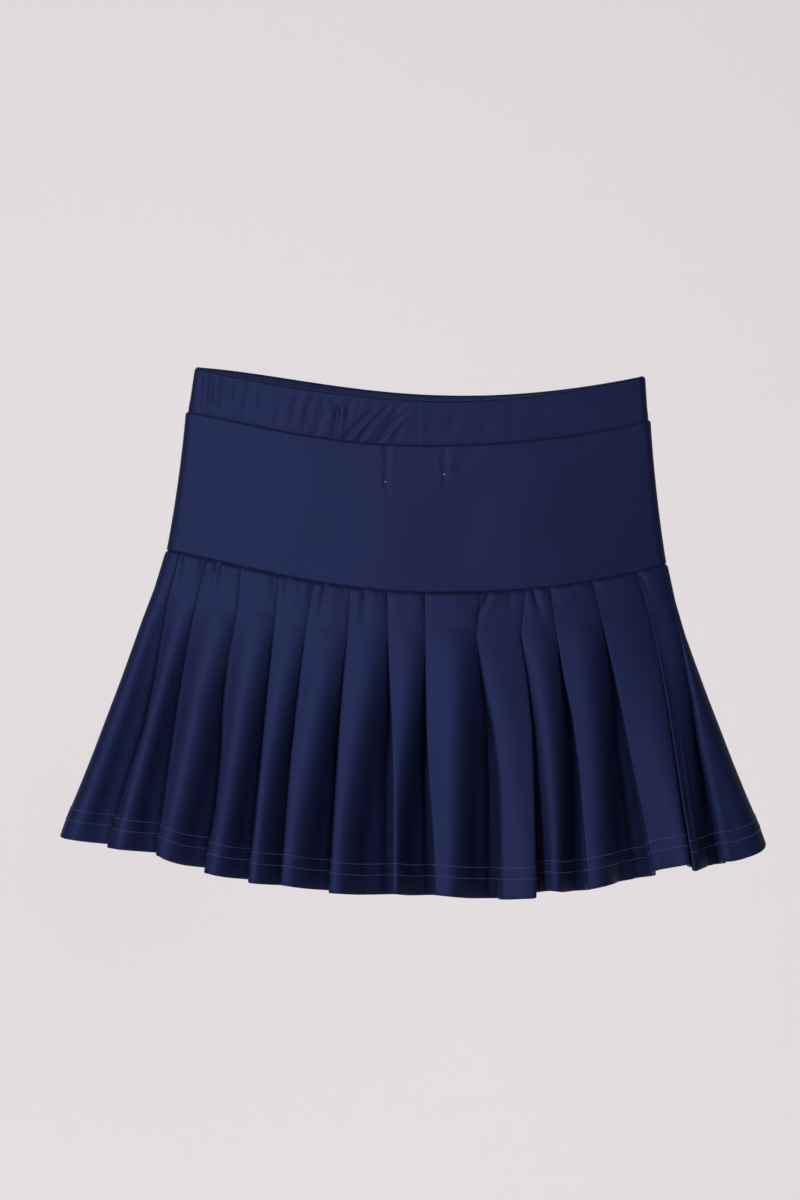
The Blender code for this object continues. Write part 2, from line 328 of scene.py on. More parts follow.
def thread_material(name, colour, twist=900.0):
    m, tree, shader = new_material(name, colour, 0.45, Sheen_Weight=0.15, Specular_IOR_Level=0.45)
    nodes, links = tree.nodes, tree.links
    place = nodes.new("ShaderNodeTexCoord")
    wave = nodes.new("ShaderNodeTexWave")
    wave.bands_direction = "DIAGONAL"
    wave.inputs["Scale"].default_value = twist
    wave.inputs["Distortion"].default_value = 1.0
    links.new(place.outputs["Object"], wave.inputs["Vector"])
    bump = nodes.new("ShaderNodeBump")
    bump.inputs["Strength"].default_value = 0.5
    bump.inputs["Distance"].default_value = 0.00008
    links.new(wave.outputs["Fac"], bump.inputs["Height"])
    links.new(bump.outputs["Normal"], shader.inputs["Normal"])
    # colour: painted shade in the grooves of the twist and painted light on the plies, following the same wave as the
    # bump
    shade = nodes.new("ShaderNodeValToRGB")
    shade.color_ramp.elements[0].color = (*[c * 0.7 for c in colour], 1)
    shade.color_ramp.elements[1].color = (*[min(1, c * 1.25) for c in colour], 1)
    links.new(wave.outputs["Fac"], shade.inputs["Fac"])
    links.new(shade.outputs["Color"], shader.inputs["Base Color"])
    return m


def ribbed_material(name, dark, light, roughness, ribs, direction):
    """Woven elastic or satin ribbon: fine ribs in cloth coordinates, with painted shade between the ribs and painted
    light on them.
    """
    m, tree, shader = new_material(name, light, roughness, Sheen_Weight=0.1)
    nodes, links = tree.nodes, tree.links
    uv = nodes.new("ShaderNodeUVMap")
    uv.uv_map = "cloth"
    wave = nodes.new("ShaderNodeTexWave")
    wave.bands_direction = direction
    wave.inputs["Scale"].default_value = ribs
    wave.inputs["Distortion"].default_value = 0.6
    wave.inputs["Detail"].default_value = 2.0
    links.new(uv.outputs["UV"], wave.inputs["Vector"])
    bump = nodes.new("ShaderNodeBump")
    bump.inputs["Strength"].default_value = 0.6
    bump.inputs["Distance"].default_value = 0.00015
    links.new(wave.outputs["Fac"], bump.inputs["Height"])
    links.new(bump.outputs["Normal"], shader.inputs["Normal"])
    # colour: painted shade between the ribs and painted light on them, following the same wave as the bump
    shade = nodes.new("ShaderNodeValToRGB")
    shade.color_ramp.elements[0].color = (*dark, 1)
    shade.color_ramp.elements[1].color = (*light, 1)
    links.new(wave.outputs["Fac"], shade.inputs["Fac"])
    links.new(shade.outputs["Color"], shader.inputs["Base Color"])
    return m


KNIT = knit_material()
THREAD = thread_material("navy_thread", (0.013, 0.020, 0.066))
LABEL_THREAD = thread_material("label_thread", (0.0035, 0.005, 0.018))
# hem thread: its navy colour made lighter than the cloth and the other thread, a painted highlight standing in for
# glints on the lit ridges
HEM_THREAD_PAINTED_GLINT = thread_material("hem_thread_painted_glint", (0.030, 0.044, 0.135))
TACK = thread_material("tack_thread", (0.075, 0.10, 0.24))
ELASTIC = ribbed_material("elastic_weave", (0.45, 0.45, 0.44), (0.74, 0.74, 0.72), 0.7, 0.35, "X")
SATIN = ribbed_material("label_satin", (0.62, 0.62, 0.61), (0.80, 0.80, 0.79), 0.35, 1.2, "Y")


def dress(obj, material):
    obj.data.materials.append(material)
    return obj


def turned(grid):
    """The same cloth on the other side: half a turn about the upright axis."""
    other = grid.copy()
    other[..., 0] *= -1
    other[..., 1] *= -1
    return other


# --------------------------------------------------------------------------------------------
# Flounce: fourteen folded pleats a side
# --------------------------------------------------------------------------------------------

SIDE_HALF = [(0.0, 136.3), (0.135, 141.7), (0.25, 147.6), (0.363, 153.7), (0.477, 160.0), (0.59, 166.6), (0.705, 173.2), (0.82, 180.2), (0.93, 187.2), (1.0, 190.9)]
KNOTS = (0.0, 0.15, 0.30, 0.45, 0.60, 0.80, 1.0)
# One line per pleat gap, left to right on the back: where its right lip (a fold edge) is at each knot,
# where its left lip is, depth at the hem, how far back the left lip lies, how far back the right lip lies
# (both as parts of the depth), radius of the fold edge, how steeply the left face falls into the gap, the slope of
# the face after the fold edge, the part of the length at which it opens, and whether the left lip is the fold edge.
GAPS = [
    ((-128.3, -134.7, -138.2, -141.4, -145.7, -155.3, -164.0), (-128.3, -136.2, -143.8, -150.8, -158.0, -167.8, -177.5), 17.5, 0.42, 0.03, 2.4, 1.6, -0.35, 0.11, False),
    ((-114.5, -119.3, -123.4, -126.8, -129.6, -133.0, -136.8), (-114.5, -119.8, -126.4, -133.0, -138.4, -145.0, -150.8), 21.5, 0.38, 0.0, 1.6, 2.3, -0.35, 0.15, False),
    ((-95.0, -96.7, -101.2, -103.3, -103.9, -106.4, -111.4), (-95.0, -96.9, -102.0, -107.4, -111.4, -118.1, -124.7), 24.0, 0.40, 0.08, 3.2, 2.3, -0.45, 0.15, False),
    ((-74.7, -76.4, -78.4, -80.4, -82.2, -84.6, -87.6), (-74.7, -76.8, -80.6, -85.3, -89.4, -94.4, -99.1), 24.0, 0.46, 0.0, 1.6, 2.1, -0.35, 0.13, False),
    ((-55.9, -59.4, -62.0, -64.4, -66.5, -68.7, -70.4), (-55.9, -59.6, -63.9, -68.2, -71.6, -74.2, -75.6), 20.0, 0.58, 0.0, 1.4, 1.8, -0.35, 0.15, False),
    ((-36.1, -37.0, -39.2, -40.9, -42.1, -44.0, -45.5), (-36.1, -37.3, -41.4, -45.6, -49.5, -53.2, -55.8), 24.0, 0.56, 0.02, 2.0, 1.9, -0.4, 0.15, False),
    ((-16.2, -15.6, -14.6, -13.5, -12.8, -12.4, -12.4), (-16.2, -16.3, -19.4, -22.6, -26.2, -29.2, -30.4), 26.0, 0.5, 0.0, 1.3, 1.6, -0.3, 0.12, False),
    ((4.1, 4.3, 4.6, 5.0, 5.9, 8.1, 9.6), (4.1, 3.9, 2.4, -0.2, -2.4, -3.8, -4.5), 25.0, 0.52, 0.0, 1.2, 1.9, -0.3, 0.13, False),
    ((34.6, 31.6, 35.9, 40.4, 43.0, 44.0, 44.4), (34.6, 31.2, 30.9, 30.3, 29.5, 28.5, 27.6), 24.0, 0.4, 0.16, 5.0, 1.9, -0.6, 0.12, False),
    ((58.5, 56.0, 60.4, 63.8, 66.0, 68.6, 70.4), (58.5, 54.8, 58.2, 60.3, 60.9, 61.0, 60.9), 22.0, -0.02, 0.42, 1.3, 0.0, 0.0, 0.13, True),
    ((71.6, 74.8, 78.4, 82.9, 85.4, 87.2, 89.2), (71.6, 74.3, 75.6, 77.0, 78.1, 78.3, 77.6), 23.0, 0.42, 0.0, 1.4, 1.2, -0.3, 0.14, False),
    ((94.8, 100.2, 105.4, 110.1, 114.4, 121.0, 127.5), (94.8, 98.9, 100.6, 102.2, 103.8, 106.1, 107.9), 24.0, 0.54, 0.35, 1.5, 1.9, -0.35, 0.13, False),
    ((119.0, 125.8, 130.4, 134.0, 137.0, 140.9, 145.4), (119.0, 125.2, 129.0, 132.1, 134.6, 137.6, 141.0), 6.0, -0.35, 0.0, 1.2, -0.2, 1.25, 0.11, False),
    ((133.4, 138.9, 144.6, 149.6, 153.4, 159.6, 166.4), (133.4, 138.7, 144.0, 148.2, 151.0, 155.6, 160.6), 20.0, 0.82, 0.28, 5.0, 1.3, -0.1, 0.20, False),
]
# Height of the hem: at the left side, at each gap's left and right lip, and at the right side.
HEM_LIPS = [
    (-238.8, -241.4), (-242.6, -244.7), (-249.4, -253.4), (-255.5, -257.8), (-258.6, -258.6), (-260.6, -262.4), (-263.2, -262.6),
    (-263.4, -263.2), (-265.0, -265.8), (-265.4, -261.6), (-262.5, -261.2), (-258.0, -252.2), (-249.6, -253.4), (-251.0, -248.9),
]
HEM_SIDES = (-235.6, -240.4)
HEM_LINE = [
    (-190, -235.6), (-164, -240.5), (-140, -243.6), (-120, -249.4), (-95, -255.8), (-70, -258.8), (-50, -261.2), (-30, -263), (0, -263.4),
    (30, -264.2), (60, -263.4), (89, -260.8), (108, -257.2), (128, -252.0), (143, -249.0), (160, -247.0), (190, -240.4),
]

# Puckers that the seam draws into the pleats under it: place across, depth, lean.
PUCKERS = [
    (-127.5, 0.6, 0.1), (-123, 0.35, 0.1), (-115.5, 0.6, 0.0), (-107.4, 1.05, -0.02), (-94, 0.3, 0.0), (-84, 0.35, -0.1), (-76.3, 0.55, -0.1),
    (-69.2, 0.6, -0.05), (-62, 0.35, 0.0), (-56.7, 0.6, -0.05), (-49, 1.0, -0.04), (-39, 0.3, 0.0), (-27.8, 1.0, -0.03), (-16.3, 0.55, 0.0),
    (-5, 0.2, 0.0), (4.4, 0.5, 0.0), (24, 0.25, 0.1), (39.2, 1.05, -0.35), (50, 0.45, 0.1), (62.7, 0.9, 0.22), (72, 0.4, 0.1), (84, 0.25, 0.1),
    (95, 0.45, 0.15), (106, 0.25, 0.15), (120, 0.5, 0.2),
]

CLOTH = 0.62
FOLD_UNDER = 14.0      # how far each pleat is folded under where it is sewn
STACK = 0.72           # distance between the layers of a closed pleat
ROWS = np.concatenate([
    np.linspace(0, 0.022, 6), np.linspace(0.034, 0.11, 7), np.linspace(0.12, 0.30, 19),
    np.linspace(0.318, 0.885, 32), np.linspace(0.90, 1.0, 13),
])


def bezier(p0, p1, p2, p3, count, last=False):
    t = np.linspace(0, 1, count + (1 if last else 0), endpoint=last)[:, None]
    return ((1 - t) ** 3) * p0 + 3 * ((1 - t) ** 2) * t * p1 + 3 * (1 - t) * t * t * p2 + t ** 3 * p3


def gap_chain(left, left_back, right, right_back, under, deep, tip, edge, slope, fast):
    """(along, back) points of a pleat's inner fold: down from the left lip, round the hidden fold, and up to the
    fold edge on the right. back is the depth behind the outermost surface."""
    p = np.array
    floor = p([right + under, deep])
    shut = p([right - 0.10, 2 * STACK * 0.97])
    wide = p([left + 0.62 * (right - left) + 0.5, 0.90 * deep])
    corner = shut + (wide - shut) * min(1.0, fast * 1.6)
    drop = corner[1] - left_back
    pull = min(0.45 * (corner[0] - left), 0.5 * drop / max(slope, 0.3))
    wall = bezier(p([left, left_back]), p([left + pull, left_back + slope * pull]), corner + p([-0.22 * (corner[0] - left), -0.45 * drop]), corner, 8)
    run = floor - corner
    bottom = bezier(corner, corner + p([0.12 * run[0], 0.5 * run[1] + 0.05 * drop]), floor - p([0.35 * run[0], 0.0]), floor, 5)
    top = p([right + under, deep - 2 * tip])
    turn = bezier(floor, floor + p([1.3 * tip, 0]), top + p([1.3 * tip, 0]), top, 4)
    low = p([right + 0.25 * edge, right_back + 2 * edge])
    back = bezier(top, top + p([-0.35 * under, -0.15 * (top[1] - low[1])]), low + p([0.20 * under, 0.30 * (top[1] - low[1])]), low, 6)
    start = p([right + edge, right_back])
    lip = bezier(low, low + p([-0.9 * edge, -0.35 * edge]), start + p([-1.25 * edge, 0]), start, 6)
    return np.concatenate([wall, bottom, turn, back, lip]), start


def pleated_row(down, seed):
    """(along, back) of one row of the panel, with its Level."""
    half = float(np.interp(down, *zip(*SIDE_HALF)))
    open_all = ramp(down, 0.10, 1.0) * 0.35 + 0.65 * np.clip((down - 0.1) / 0.9, 0, 1)
    stand = 0.4 + 6.4 * open_all ** 0.9
    side_back = 0.35 + 3.4 * open_all
    depth = 22.0 + 27.0 * down
    end = 6.0 + 6.0 * down
    out_side = stand - side_back
    shift = float(np.interp(down, (0, 0.25, 1), (-0.3, -2.0, -1.6)))
    level = Level(half - out_side, depth, end, -shift if seed else shift)
    r = np.random.default_rng(seed)
    points = []
    start = np.array([0.0, side_back])
    slope_in = -0.1 * open_all
    lips = []
    for rights, lefts, *_ in GAPS:
        lips.append(float(level.at_x(np.interp(down, KNOTS, lefts))))
    lips.append(level.length)
    for k, (rights, lefts, deep_open, left_part, right_part, edge_open, steep, after_slope, opens, flip) in enumerate(GAPS):
        wob = r.uniform(-1, 1, 6)
        opened = float(np.clip((down - opens) / (1 - opens), 0, 1))
        drift = 0.35 * wob[0] * math.sin(2 * math.pi * (down * 1.7 + wob[1])) * opened
        x_right = float(np.interp(down, KNOTS, rights)) + drift
        x_left = min(float(np.interp(down, KNOTS, lefts)) + drift * 0.6, x_right - 0.02)
        if seed:
            x_left -= 1.2 * wob[2] * opened
            x_right += 0.8 * wob[3] * opened
        right, left = float(level.at_x(x_right)), float(level.at_x(x_left))
        left = min(left, right - 0.5)
        fast = opened ** 0.62
        scale = 1.0 + (0.12 * wob[4] if seed else 0.0)
        deep = 2 * STACK + (deep_open * scale - 2 * STACK) * fast
        room = (lips[k + 1] - right) if not flip else (left - lips[k - 1] - 6)
        closed_under = min(FOLD_UNDER, 0.72 * room)
        under = closed_under + (min(4.0, 0.3 * room) - closed_under) * opened ** 0.45
        tip = STACK / 2 + (1.7 - STACK / 2) * fast
        edge = STACK / 2 + (edge_open * 0.75 - STACK / 2) * fast
        near_back = 0.04 + left_part * deep * fast
        far_back = right_part * deep * fast
        if not flip:
            slope = 0.16 + steep * fast
            chain, after = gap_chain(left, near_back, right, far_back, under, deep, tip, edge, slope, fast)
            stop, slope_stop = np.array([left, near_back]), slope
            slope_next = -0.05 + after_slope * fast
        else:
            # the lip on the left stands in front, and the cloth goes back under it
            low_back = 0.04 + right_part * deep * fast
            lip_back = max(0.0, left_part * deep * fast)
            chain, after = gap_chain(-right, low_back, -left, lip_back, under, deep, tip, edge, 1.5 * fast + 0.15, fast)
            chain = np.concatenate([chain, after[None]])[::-1] * np.array([-1, 1])
            chain, after = chain[:-1], chain[-1]
            stop, slope_stop = chain[0], 0.05
            slope_next = -1.5 * fast - 0.15
        face_width = stop[0] - start[0]
        face = bezier(start, start + np.array([0.26, 0.26 * slope_in]) * face_width, stop - np.array([0.40, 0.40 * slope_stop]) * face_width, stop, 14)
        points += [face, chain]
        start, slope_in = after, slope_next
    stop = np.array([level.length, side_back])
    face_width = stop[0] - start[0]
    points.append(bezier(start, start + np.array([0.30, 0.30 * slope_in]) * face_width, stop - np.array([0.34, 0.05]) * face_width, stop, 14, last=True))
    path = np.concatenate(points)
    return level, path, stand


def hem_heights(back):
    """Hem height of each column of the panel."""
    left, right = HEM_SIDES if back else (HEM_SIDES[1], HEM_SIDES[0])
    heights, before = [], left
    for k, (a, b) in enumerate(HEM_LIPS):
        if not back:
            x = -np.interp(1.0, KNOTS, GAPS[k][0])
            base = float(np.interp(x, *zip(*HEM_LINE))) + 2.0
            a, b = base + 0.5 * math.sin(5.1 * k), base + 0.5 * math.sin(5.1 * k + 1.4)
        t = np.linspace(0, 1, 14, endpoint=False)
        heights.append(before + (a - before) * t)
        t = np.linspace(0, 1, 29, endpoint=False)
        heights.append(a + (b - a) * t)
        before = b
    t = np.linspace(0, 1, 15)
    last = before + (right - before) * (0.35 * t + 0.65 * t ** 2)
    heights.append(last)
    line = np.concatenate(heights)
    kernel = np.array([1, 2, 3, 2, 1], float) / 9
    padded = np.concatenate([[line[0]] * 2, line, [line[-1]] * 2])
    return np.convolve(padded, kernel, "valid")


def flounce_grid(back):
    seed = 0 if back else 11
    rows = []
    stands = []
    for down in ROWS:
        level, path, stand = pleated_row(down, seed)
        x, y = level.point(path[:, 0], stand - path[:, 1])
        rows.append(np.stack([x, y], -1))
        stands.append((level, path, stand))
    flat = np.array(rows)
    seam = yoke_line(flat[0, :, 0], True) if back else yoke_line(-flat[0, :, 0], False)
    hem = hem_heights(back)
    hem = hem - 0.10 * (stands[-1][1][:, 1] - 1.0)
    z = seam[None, :] + (hem - seam)[None, :] * ROWS[:, None]
    grid = np.concatenate([flat, z[..., None]], -1)
    # the seam draws the top edge in, and puckers the cloth under it
    n = normals_of(grid)
    outward = np.stack([grid[..., 0] * 0, np.full(grid.shape[:2], -1.0)], -1)
    sign = np.sign((n[..., :2] * outward).sum(-1).mean())
    n *= sign
    level0, path0, _ = stands[0]
    along = path0[:, 0]
    draw = 1.15 * np.clip(1 - ROWS / 0.012, 0, 1) ** 2
    pull = np.zeros(grid.shape[:2])
    marks = PUCKERS if back else [(c + RNG.uniform(-3, 3), RNG.uniform(0.3, 0.8), 0.0) for c in np.linspace(-124, 124, 21)]
    x0 = grid[0, :, 0]
    r = np.random.default_rng(3 if back else 4)
    for centre, amount, lean in marks:
        width, length = r.uniform(0.9, 1.3), r.uniform(0.035, 0.05) + 0.035 * amount
        place = centre + lean * 165 * ROWS[:, None]
        fade = np.exp(-(ROWS / length) ** 1.5)[:, None]
        amount = 1.5 * amount
        pull += amount * np.exp(-0.5 * ((x0[None, :] - place) / width) ** 2) * fade
        pull -= 0.42 * amount * np.exp(-0.5 * ((x0[None, :] - place - 3.2) / 2.0) ** 2) * fade
        pull -= 0.30 * amount * np.exp(-0.5 * ((x0[None, :] - place + 3.0) / 1.8) ** 2) * fade
    inward = np.stack([np.zeros_like(x0), np.ones_like(x0)], -1)
    edge = level0.point(along, np.full_like(along, -1.0))
    base = level0.point(along, np.zeros_like(along))
    inward = np.stack([edge[0] - base[0], edge[1] - base[1]], -1)
    grid[..., :2] += (draw[:, None] + pull * ramp(ROWS, 0.0, 0.01)[:, None])[..., None] * inward[None]
    # a slow unevenness of hand-pressed cloth, growing towards the hem
    wob = waves(along, 21 if back else 22, (41, 67, 23))[None, :] * waves(ROWS * 100, 23, (63, 37))[:, None]
    grid[..., :2] -= (0.5 * wob * ROWS[:, None] * np.sin(np.linspace(0, math.pi, grid.shape[1]))[None, :])[..., None] * inward[None]
    return grid


SPLIT = 8 * 14 + 7 * 29 + 23   # close behind the fold edge of the middle pleat, where the line is nearly straight


def flounce(back):
    grid = flounce_grid(back)
    if not back:
        grid = turned(grid)
    n = normals_of(grid)
    centre_out = np.stack([grid[..., 0] * 0, (-1.0 if back else 1.0) + grid[..., 0] * 0], -1)
    if (n[..., :2] * centre_out).sum() < 0:
        n = -n
    # the side seams face straight out
    for column, x_sign in ((0, -1), (-1, 1)):
        s = x_sign if back else -x_sign
        n[:, column] = np.array([s, 0, 0.0])
    thick = np.where(ROWS > 0.9, 2 * CLOTH * 0.92, CLOTH)
    thick = np.interp(ROWS, [0, 0.895, 0.905, 1], [CLOTH, CLOTH, CLOTH * 1.7, CLOTH * 1.7])
    uv = cloth_uv(grid)
    side = "back" if back else "front"
    made = []
    for name, a, b in (("a", 0, SPLIT + 1), ("b", SPLIT, grid.shape[1])):
        obj = cloth_mesh(f"flounce_{side}_{name}", grid[:, a:b], n[:, a:b], thick[:, None], uv[:, a:b])
        made.append(dress(obj, KNIT))
    return grid, n, made, thick


def stitch_rows(name, lines, radius, stitch, gap, material):
    """Rows of separate stitches lying on the cloth. lines are (points, normals) in millimetres."""
    verts, faces = [], []
    sides = 6
    shape = ((0.0, 0.25, -0.55), (0.16, 0.85, 0.15), (0.5, 1.0, 0.45), (0.84, 0.85, 0.15), (1.0, 0.25, -0.55))
    for points, normals in lines:
        step = np.linalg.norm(np.diff(points, axis=0), axis=1)
        along = np.concatenate([[0], np.cumsum(step)])
        count = int(along[-1] / (stitch + gap))
        if count < 1:
            continue
        pitch = along[-1] / count
        for i in range(count):
            a = i * pitch + pitch * gap / (stitch + gap) / 2
            rings = []
            for f, wide, lift in shape:
                s = a + f * pitch * stitch / (stitch + gap)
                c = np.array([np.interp(s, along, points[:, q]) for q in range(3)])
                m = np.array([np.interp(s, along, normals[:, q]) for q in range(3)])
                m /= max(np.linalg.norm(m), 1e-9)
                ahead = np.array([np.interp(s + 0.3, along, points[:, q]) - np.interp(s - 0.3, along, points[:, q]) for q in range(3)])
                ahead /= max(np.linalg.norm(ahead), 1e-9)
                side = np.cross(ahead, m)
                side /= max(np.linalg.norm(side), 1e-9)
                up = np.cross(side, ahead)
                centre = c + m * radius * lift
                rings.append([centre + (side * math.cos(t) + up * math.sin(t)) * radius * wide for t in np.linspace(0, 2 * math.pi, sides, endpoint=False)])
            first = len(verts)
            for ring in rings:
                verts += ring
            for j in range(len(rings) - 1):
                for q in range(sides):
                    a0 = first + j * sides + q
                    a1 = first + j * sides + (q + 1) % sides
                    faces.append((a0, a1, a1 + sides, a0 + sides))
            faces.append(tuple(first + q for q in reversed(range(sides))))
            faces.append(tuple(first + (len(rings) - 1) * sides + q for q in range(sides)))
    mesh = bpy.data.meshes.new(name)
    mesh.from_pydata((np.array(verts) * MM).tolist(), [], faces)
    mesh.update()
    if signed_volume(mesh) < 0:
        mesh.flip_normals()
    mesh.shade_smooth()
    obj = bpy.data.objects.new(name, mesh)
    bpy.context.scene.collection.objects.link(obj)
    return dress(obj, material)


def row_at(grid, n, thick, over, lift):
    """Points and normals on the outside of the cloth, at a height over the hem."""
    length = 165.0
    f = 1 - over / length
    i = int(np.searchsorted(ROWS, f)) - 1
    t = (f - ROWS[i]) / (ROWS[i + 1] - ROWS[i])
    p = grid[i] * (1 - t) + grid[i + 1] * t
    m = n[i] * (1 - t) + n[i + 1] * t
    h = thick[i] * (1 - t) + thick[i + 1] * t
    return p + m * (h / 2 + lift), m


# --------------------------------------------------------------------------------------------
# Yoke
# --------------------------------------------------------------------------------------------

YOKE_ROWS = np.concatenate([np.linspace(0, 0.03, 6), np.linspace(0.05, 0.95, 40), np.linspace(0.968, 1.0, 7)])
YOKE_THICK = 0.8


def yoke(back):
    columns = 220
    rows = []
    for down in YOKE_ROWS:
        half = 126.7 + 9.6 * (0.6 * down + 0.4 * down * down)
        level = Level(half - YOKE_THICK / 2, 14.6 + 7.4 * down, 4.6 + 1.4 * down, (0.6 - 0.9 * down) * (1 if back else -1))
        along = np.linspace(0, level.length, columns)
        x, _ = level.point(along, 0.0)
        a = 1.0 if back else -1.0
        q = x * a
        z_share = down
        # slow swells of the smooth panel, then the marks of seams and label stitches
        swell = 0.9 * bell(q, -20, 17) * ramp(z_share, 0.12, 0.6) - 0.8 * bell(q, 26, 16) * ramp(z_share, 0.15, 0.7)
        swell += 0.5 * bell(q, -62, 20) * bell(z_share, 0.3, 0.3) + 0.45 * bell(q, 75, 24) * bell(z_share, 0.5, 0.4)
        swell += 0.35 * waves(q + 30 * down, 31 if back else 32, (58, 91)) * math.sin(math.pi * down)
        if not back:
            swell *= 0.6
        if back:
            for centre, low in ((-16.4, 0.29), (14.9, 0.22)):
                reach = 1 - ramp(z_share, low, low + 0.05)
                swell -= 0.42 * bell(q, centre, 1.0) * reach
                swell += 0.25 * (bell(q, centre - 3, 2.0) + bell(q, centre + 3, 2.0)) * reach
            swell -= 0.30 * bell(q + (z_share - 0.05) * 90, 31, 1.8) * ramp(z_share, 0.0, 0.05) * (1 - ramp(z_share, 0.16, 0.26))
            swell -= 0.16 * bell(z_share, 0.20, 0.016) * ramp(q, -22, -14) * (1 - ramp(q, 12, 20))
            swell -= 0.10 * bell(q, 0.5, 0.8) * ramp(z_share, 0.3, 0.4)
        swell += 0.22 * waves(q, 41 if back else 42, (9, 13, 21)) * (1 - ramp(z_share, 0.0, 0.10))
        swell += 0.25 * waves(q, 43 if back else 44, (7, 11, 17)) * ramp(z_share, 0.93, 0.99)
        swell *= np.clip(np.minimum(along, level.length - along) / 12, 0, 1)
        draw = 0.95 * np.clip(1 - down / 0.014, 0, 1) ** 2 + 1.15 * np.clip((down - 0.984) / 0.016, 0, 1) ** 2
        x, y = level.point(along, swell - draw)
        top, low = waist_line(q, back), yoke_line(q, back)
        rows.append(np.stack([x, y, top + (low - top) * down], -1))
    grid = np.array(rows)
    if not back:
        grid = turned(grid)
    n = normals_of(grid)
    if (n[..., 1] * (-1 if back else 1)).sum() < 0:
        n = -n
    for column, x_sign in ((0, -1), (-1, 1)):
        n[:, column] = np.array([x_sign if back else -x_sign, 0, 0.0])
    uv = cloth_uv(grid)
    obj = cloth_mesh("yoke_panel_" + ("back" if back else "front"), grid, n, YOKE_THICK, uv, round_last=False)
    return grid, n, dress(obj, KNIT)


# --------------------------------------------------------------------------------------------
# Waistband
# --------------------------------------------------------------------------------------------

# Gathers of the back's left half: from (x, height under the top edge) to (x, height), depth, width.
GATHERS = [
    (-117, 2, -118, 22, 0.55, 1.5), (-111, 1, -112.5, 17, 0.7, 1.3), (-104, 3, -105, 21, 0.5, 1.6), (-97, 1, -99, 15, 0.45, 1.4), (-91, 6, -93, 23, 0.4, 1.6),
    (-83, 3, -84, 16, 0.25, 1.8), (-74, 8, -76, 24, 0.25, 1.8), (-64, 4, -67, 15, 0.45, 1.4), (-56, 3, -61, 22, 0.6, 1.3), (-50, 12, -54, 24, 0.45, 1.3),
    (-46, 4, -43, 11, 0.6, 1.2), (-42.5, 8, -45, 24, 0.95, 1.2), (-35, 3, -37.5, 12, 0.5, 1.1), (-24, 8, -38, 24, 1.0, 1.15), (-16.5, 6, -30.5, 23, 0.95, 1.1),
    (-10, 10, -20.5, 24, 0.95, 1.15), (-8, 3, -14, 10, 0.4, 1.1),
    (9, 8, 7, 18, 0.22, 2.0), (22, 6, 18, 16, 0.25, 2.4), (38, 8, 36, 20, 0.16, 2.6), (51, 4, 50, 22, 0.14, 2.6), (70, 6, 69, 20, 0.12, 3.0),
]


def band_relief(q, under, back):
    """How far the band's outer layer stands out at (place across, height under the top edge)."""
    shape = np.zeros(np.broadcast(q, under).shape)
    if back:
        for x0, h0, x1, h1, amount, width in GATHERS:
            t = np.clip((under - h0) / (h1 - h0), 0, 1)
            line = x0 + (x1 - x0) * (t + 0.10 * np.sin(math.pi * t))
            lean = math.hypot(1, (x1 - x0) / (h1 - h0))
            d = (q - line) / lean
            reach = ramp(under, h0 - 2.5, h0 + 1.5) * (1 - ramp(under, h1 - 0.5, h1 + 2.5))
            shape -= 0.85 * amount * np.exp(-(d / (1.25 * width)) ** 2) * reach
            shape += 0.58 * amount * np.exp(-((d - 2.2 * width) / (1.5 * width)) ** 2) * reach
        left = 1 - ramp(q, -6, 4)
        shape += 0.10 * left * waves(q + 0.35 * under, 51, (6.5, 9.2, 14))
        shape += 0.09 * (1 - left) * waves(q + 0.1 * under, 52, (13, 22, 31))
        shape -= 0.30 * np.exp(-((q - 0.3) / 0.5) ** 2)
        shape += 0.12 * np.exp(-((q - 2.6) / 1.8) ** 2)
    else:
        shape += 0.20 * waves(q + 0.25 * under, 53, (7.5, 11, 19)) * (0.5 + 0.5 * waves(q, 54, (83, 47)))
    return shape


